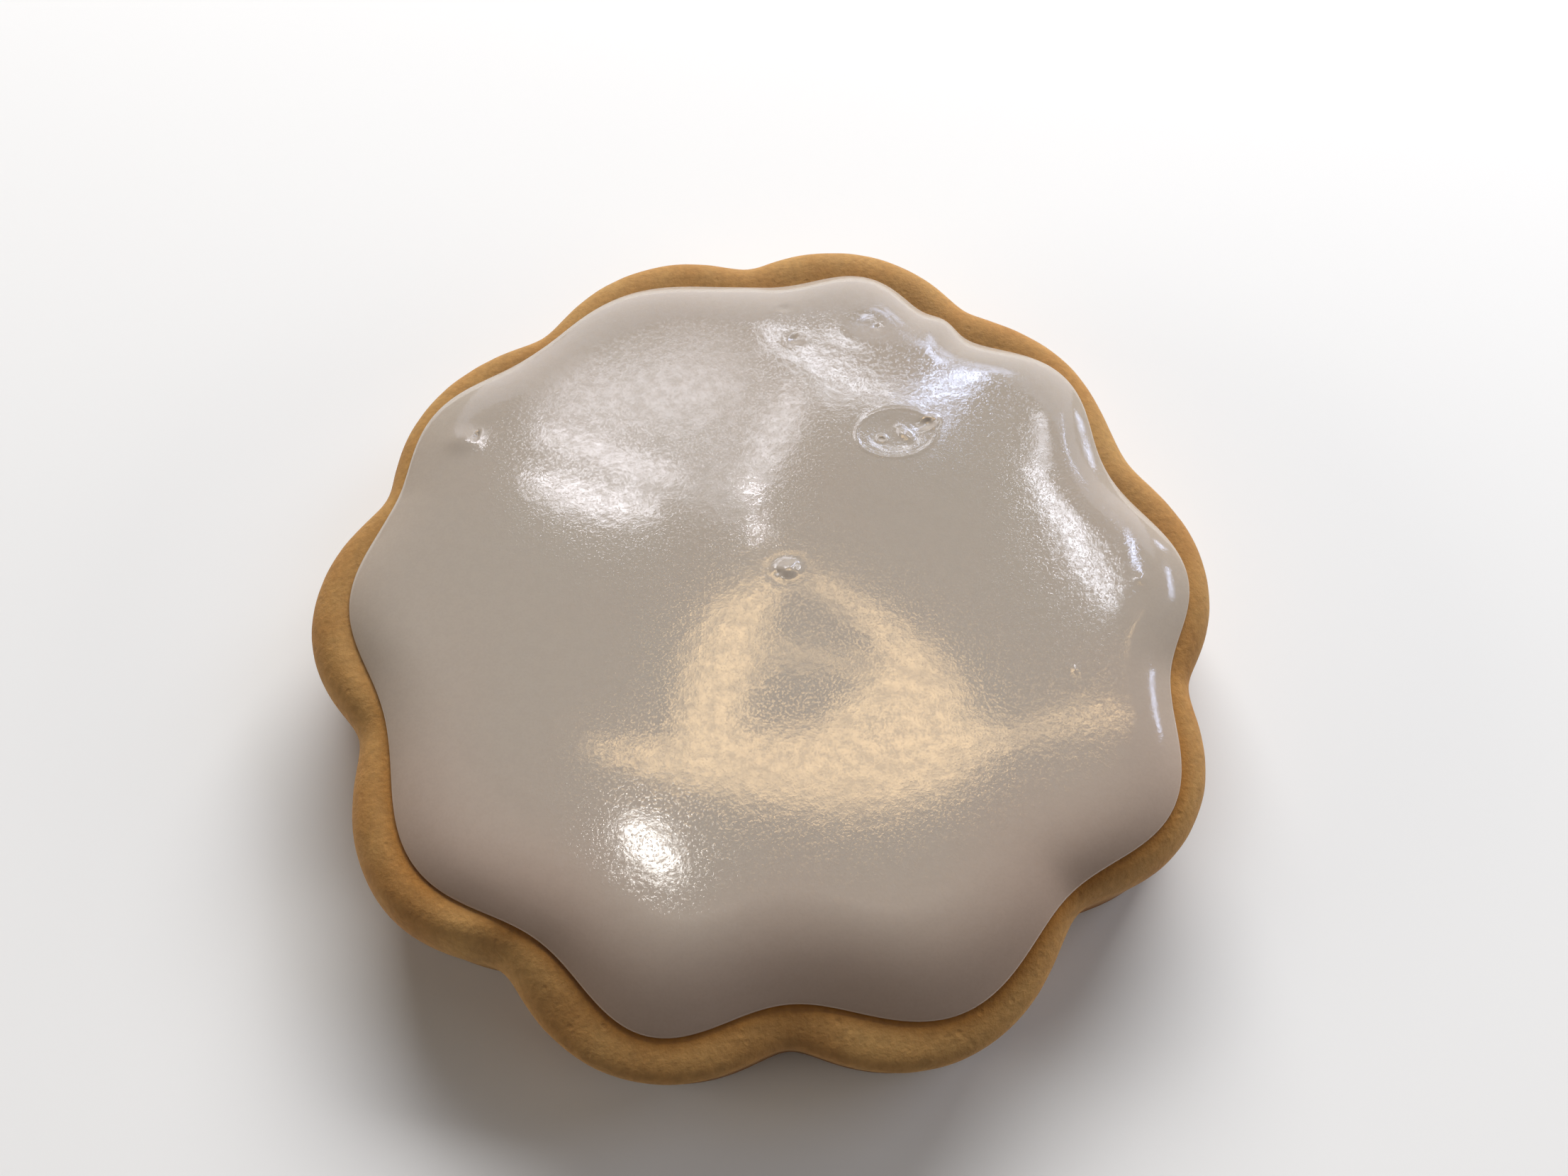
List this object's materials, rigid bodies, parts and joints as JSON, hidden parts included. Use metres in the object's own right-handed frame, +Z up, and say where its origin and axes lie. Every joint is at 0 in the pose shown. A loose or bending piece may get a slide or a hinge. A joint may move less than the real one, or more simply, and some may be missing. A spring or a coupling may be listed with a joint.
{
  "type": "iced sugar cookie",
  "caption": "Thick scalloped sugar cookie with a domed layer of pale grey-beige poured icing over its top and a bare golden rim.",
  "frame": {"origin": "on the underside, below the middle of the box around the cookie's outline", "axes": "+Z up through the icing; -Y towards the near edge of the pictured view, +X to its right"},
  "size_m": [0.0718, 0.0706, 0.0112],
  "materials": {
    "baked_biscuit": "baked, dry and fine-crumbed",
    "poured_icing": "poured sugar icing, set glossy with a fine satin grain"
  },
  "bodies": {
    "root": {"biscuit": "baked_biscuit", "icing": "poured_icing"}
  },
  "joints": []
}
